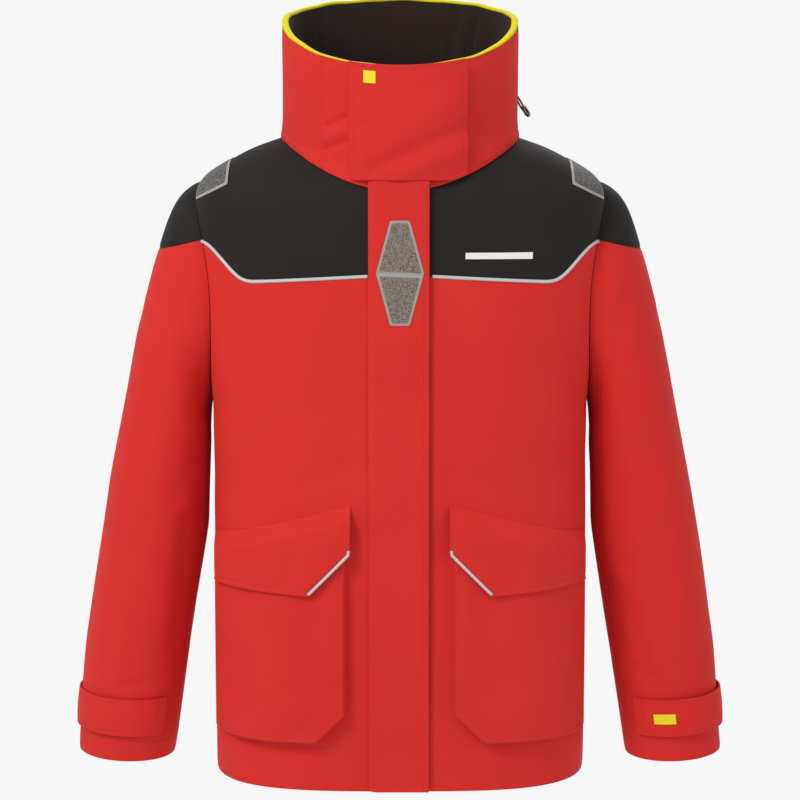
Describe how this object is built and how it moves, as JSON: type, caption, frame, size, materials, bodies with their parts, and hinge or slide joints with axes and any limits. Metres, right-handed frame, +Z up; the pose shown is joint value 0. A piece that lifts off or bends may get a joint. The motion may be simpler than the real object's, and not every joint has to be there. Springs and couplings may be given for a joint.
{
  "type": "foul weather jacket",
  "caption": "Waterproof sailing jacket with a high collar, zipped front under a storm flap, cargo pockets, adjustable cuffs and a hood stowed in the collar.",
  "frame": {"origin": "middle of the lower edge of the hanging loop inside the back of the neck, where a coat hook bears", "axes": "+Z up towards the collar, the front of the jacket faces -Y, +X to the wearer's left"},
  "size_m": [0.7866, 0.3034, 0.9154],
  "materials": {
    "red_cloth": "matt waterproof outer cloth",
    "black_cloth": "matt waterproof outer cloth",
    "fleece": "soft fleece lining",
    "bright_cloth": "bright cloth",
    "reflective_film": "retroreflective film",
    "hook_and_loop": "woven hook-and-loop tape",
    "moulded_plastic": "moulded plastic",
    "zip_metal": "cast metal",
    "cord": "braided cord"
  },
  "bodies": {
    "shell": {"front_panel_left": "red_cloth", "front_panel_right": "red_cloth", "front_yoke_left": "black_cloth", "front_yoke_right": "black_cloth", "back_panel": "red_cloth", "back_yoke": "black_cloth", "yoke_piping_left": "reflective_film", "yoke_piping_right": "reflective_film", "shoulder_patch_left": "reflective_film", "shoulder_patch_right": "reflective_film", "body_lining": "fleece", "collar_left": "red_cloth", "collar_right": "red_cloth", "collar_back": "red_cloth", "collar_lining": "fleece", "collar_binding": "bright_cloth", "stowed_hood": "bright_cloth", "hood_zip_chain_upper": "moulded_plastic", "hood_zip_chain_lower": "moulded_plastic", "hang_loop": "hook_and_loop", "zip_tape_left": "hook_and_loop", "zip_tape_right": "hook_and_loop", "zip_chain_left": "moulded_plastic", "zip_chain_right": "moulded_plastic", "zip_box": "moulded_plastic", "inner_storm_flap": "red_cloth", "storm_flap_loop_tape": "hook_and_loop", "throat_tab_loop_tape": "hook_and_loop", "pocket_left": "red_cloth", "pocket_right": "red_cloth", "pocket_loop_tape_left": "hook_and_loop", "pocket_loop_tape_right": "hook_and_loop"},
    "storm_flap_leaf": {"storm_flap": "red_cloth", "storm_flap_hook_tape": "hook_and_loop", "storm_flap_reflector": "reflective_film"},
    "throat_tab_leaf": {"throat_tab": "red_cloth", "throat_tab_hook_tape": "hook_and_loop"},
    "main_slider": {"main_zip_slider": "zip_metal", "main_zip_puller": "moulded_plastic"},
    "hood_slider": {"hood_zip_slider": "zip_metal"},
    "hood_pull": {"hood_zip_puller": "cord"},
    "pocket_flap_leaf_left": {"pocket_flap_left": "red_cloth", "pocket_flap_piping_left": "reflective_film", "pocket_hook_tape_left": "hook_and_loop"},
    "sleeve_assembly_left": {"sleeve_left": "red_cloth", "sleeve_cap_left": "black_cloth", "inner_cuff_left": "fleece", "cuff_loop_tape_left": "hook_and_loop"},
    "cuff_tab_leaf_left": {"cuff_tab_left": "red_cloth", "cuff_hook_tape_left": "hook_and_loop"},
    "pocket_flap_leaf_right": {"pocket_flap_right": "red_cloth", "pocket_flap_piping_right": "reflective_film", "pocket_hook_tape_right": "hook_and_loop"},
    "sleeve_assembly_right": {"sleeve_right": "red_cloth", "sleeve_cap_right": "black_cloth", "inner_cuff_right": "fleece", "cuff_loop_tape_right": "hook_and_loop"},
    "cuff_tab_leaf_right": {"cuff_tab_right": "red_cloth", "cuff_hook_tape_right": "hook_and_loop"}
  },
  "joints": [
    {"name": "sleeve_left_raise", "type": "hinge", "parent": "shell", "child": "sleeve_assembly_left", "pos_m": [0.234, -0.09077, -0.067], "axis": [0, -1, 0], "range_deg": [0, 60]},
    {"name": "pocket_flap_left_lift", "type": "hinge", "parent": "shell", "child": "pocket_flap_leaf_left", "pos_m": [0.16015, -0.22193, -0.46242], "axis": [-0.8816, -0.4098, 0.2342], "range_deg": [0, 110]},
    {"name": "cuff_tab_left_open", "type": "hinge", "parent": "sleeve_assembly_left", "child": "cuff_tab_leaf_left", "pos_m": [0.37632, -0.06252, -0.72565], "axis": [-0.0889, 0.0374, 0.9953], "range_deg": [0, 110]},
    {"name": "sleeve_right_raise", "type": "hinge", "parent": "shell", "child": "sleeve_assembly_right", "pos_m": [-0.234, -0.09077, -0.067], "axis": [0, 1, 0], "range_deg": [0, 60]},
    {"name": "pocket_flap_right_lift", "type": "hinge", "parent": "shell", "child": "pocket_flap_leaf_right", "pos_m": [-0.16015, -0.22193, -0.46242], "axis": [-0.8816, 0.4098, -0.2342], "range_deg": [0, 110]},
    {"name": "cuff_tab_right_open", "type": "hinge", "parent": "sleeve_assembly_right", "child": "cuff_tab_leaf_right", "pos_m": [-0.37632, -0.06252, -0.72565], "axis": [-0.0889, -0.0374, -0.9953], "range_deg": [0, 110]},
    {"name": "storm_flap_open", "type": "hinge", "parent": "shell", "child": "storm_flap_leaf", "pos_m": [-0.036, -0.24023, -0.47], "axis": [0, -0.0361, -0.9993], "range_deg": [0, 120]},
    {"name": "throat_tab_open", "type": "hinge", "parent": "shell", "child": "throat_tab_leaf", "pos_m": [-0.05784, -0.21537, -0.066], "axis": [-0.0002, -0.0328, -0.9995], "range_deg": [0, 120]},
    {"name": "main_zip_slide", "type": "slide", "parent": "shell", "child": "main_slider", "axis": [0, 0.0361, 0.9993], "range_m": [-0.788, 0]},
    {"name": "hood_zip_run", "type": "hinge", "parent": "shell", "child": "hood_slider", "pos_m": [0, -0.11077, 0.027], "axis": [0, 0, 1], "range_deg": [0, 154]},
    {"name": "hood_zip_puller_swing", "type": "hinge", "parent": "hood_slider", "child": "hood_pull", "pos_m": [0.1369, -0.07916, 0.0298], "axis": [0.225, -0.9744, 0], "range_deg": [0, 140]}
  ]
}
